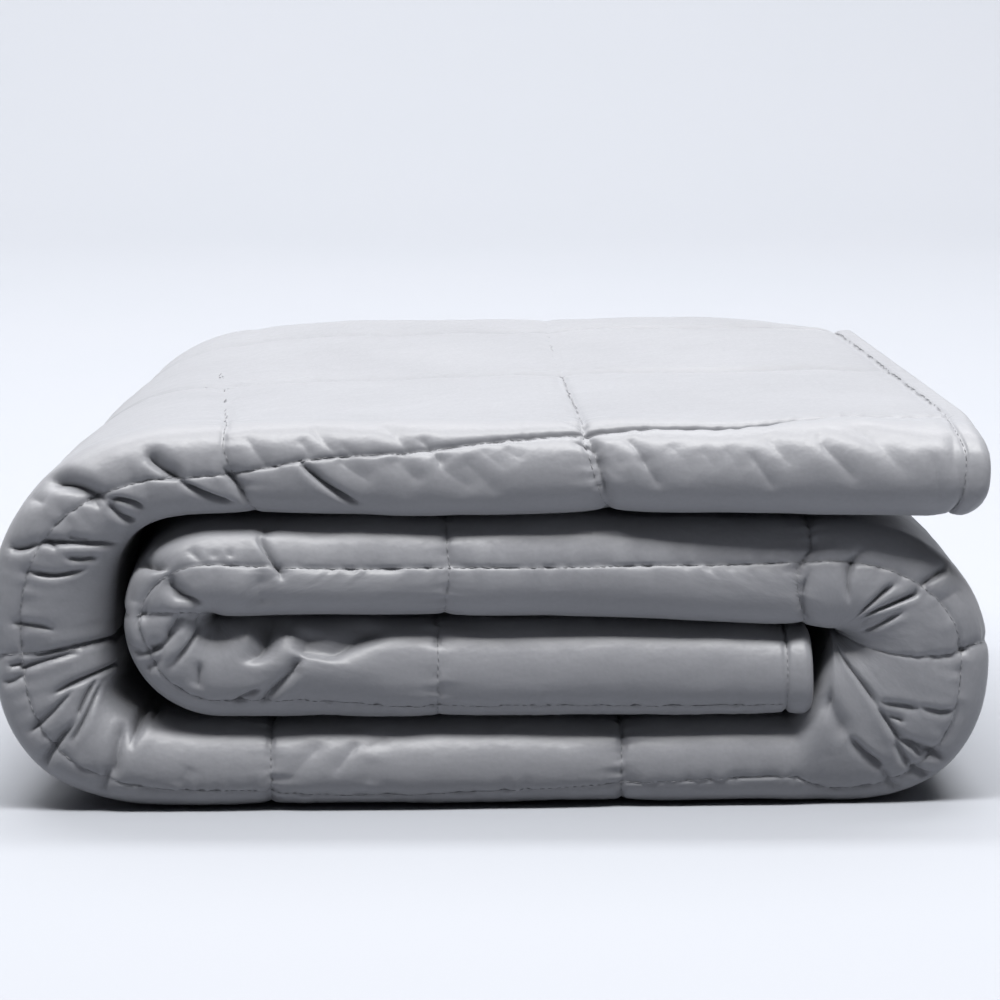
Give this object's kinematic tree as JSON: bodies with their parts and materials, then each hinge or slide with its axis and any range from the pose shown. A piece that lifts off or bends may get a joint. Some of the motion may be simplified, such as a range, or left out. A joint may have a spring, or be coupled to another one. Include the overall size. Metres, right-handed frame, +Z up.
{
  "type": "weighted blanket",
  "caption": "Quilted, filled cotton blanket folded in thirds and wound flat into a low stack of layers, with stitched square channels, rounded folds and creased ends.",
  "frame": {"origin": "on the floor, under the middle of the folded blanket's bounding box", "axes": "+X along the folded blanket's length, towards the end where the top layer's hem lies; +Y from the rounded front folds to the back; +Z up"},
  "size_m": [0.4589, 0.4091, 0.1805],
  "materials": {
    "cotton_sateen": "smooth tightly woven neutral grey cotton with a soft sheen, quilted with tonal thread"
  },
  "bodies": {
    "root": {"weighted_blanket": "cotton_sateen"}
  },
  "joints": []
}
